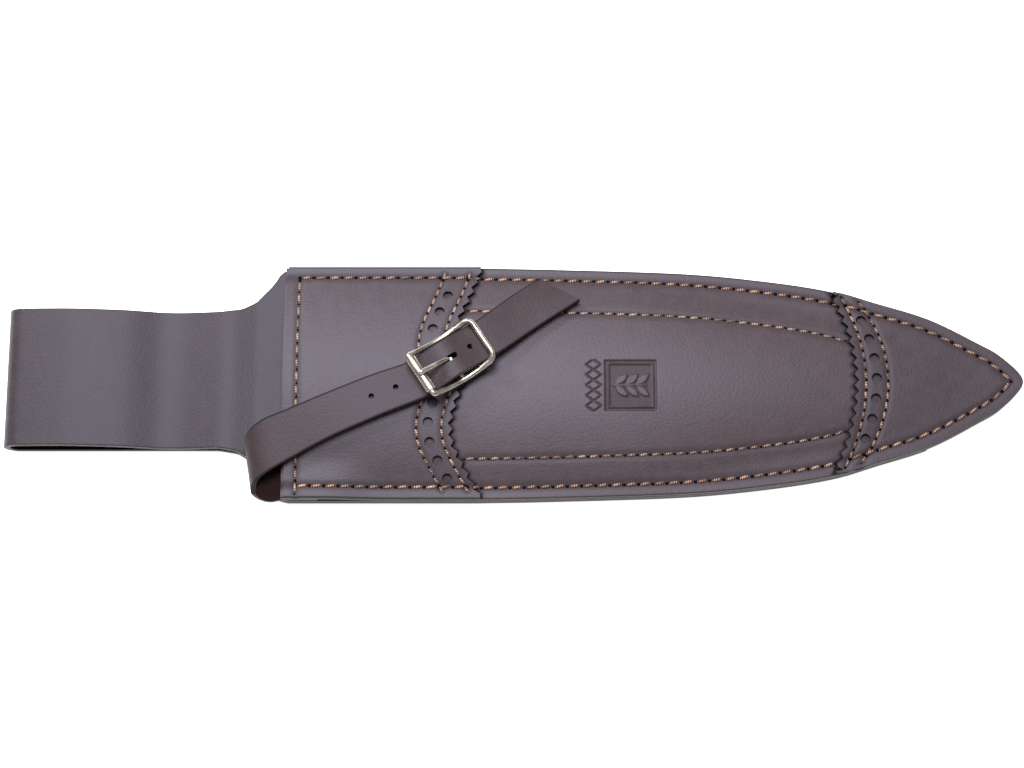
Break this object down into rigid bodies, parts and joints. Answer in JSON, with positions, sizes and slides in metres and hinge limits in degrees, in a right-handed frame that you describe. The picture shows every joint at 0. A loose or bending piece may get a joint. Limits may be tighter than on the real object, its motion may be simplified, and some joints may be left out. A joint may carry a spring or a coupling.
{
  "type": "hori hori knife sheath",
  "caption": "Leather belt sheath for a hori hori digging knife, with folded belt loop, pinked overlays and a buckled retention strap.",
  "frame": {"origin": "on the resting plane, under the middle of the mouth edge", "axes": "+X from the mouth to the toe, +Y across the sheath, +Z out of its front face"},
  "size_m": [0.315, 0.075, 0.023],
  "materials": {
    "front_leather": "oiled full grain, soft sheen",
    "overlay_leather": "oiled full grain, soft sheen",
    "backing_leather": "oiled full grain, soft sheen",
    "strap_leather": "oiled full grain, dyed edges",
    "seam_thread": "waxed copper thread",
    "fine_thread": "waxed copper thread",
    "nickel": "polished nickel plate",
    "nickel_roller": "polished nickel plate"
  },
  "bodies": {
    "root": {"front_panel": "front_leather", "mouth_overlay": "overlay_leather", "toe_cap": "overlay_leather", "folded_backing": "backing_leather", "seam_thread": "seam_thread", "mouth_thread": "fine_thread", "mouth_band_thread_left": "fine_thread", "mouth_band_thread_right": "fine_thread", "toe_band_thread_left": "fine_thread", "toe_band_thread_right": "fine_thread", "border_thread_upper": "fine_thread", "border_thread_lower": "fine_thread", "retention_strap": "strap_leather", "buckle_tab": "strap_leather", "tab_thread": "fine_thread"},
    "buckle": {"buckle_frame": "nickel", "centre_bar": "nickel"},
    "roller": {"buckle_roller": "nickel_roller"},
    "prong": {"buckle_prong": "nickel"}
  },
  "joints": [
    {"name": "buckle_rock", "type": "hinge", "parent": "root", "child": "buckle", "pos_m": [0.05205, 0.0049, 0.01491], "axis": [-0.5519, 0.8339, 0], "range_deg": [-3, 3]},
    {"name": "roller_spin", "type": "hinge", "parent": "buckle", "child": "roller", "pos_m": [0.04309, -0.00103, 0.0197], "axis": [-0.5519, 0.8339, 0], "continuous": true},
    {"name": "prong_lift", "type": "hinge", "parent": "buckle", "child": "prong", "pos_m": [0.05205, 0.0049, 0.01491], "axis": [-0.5519, 0.8339, 0], "range_deg": [0, 20]}
  ]
}
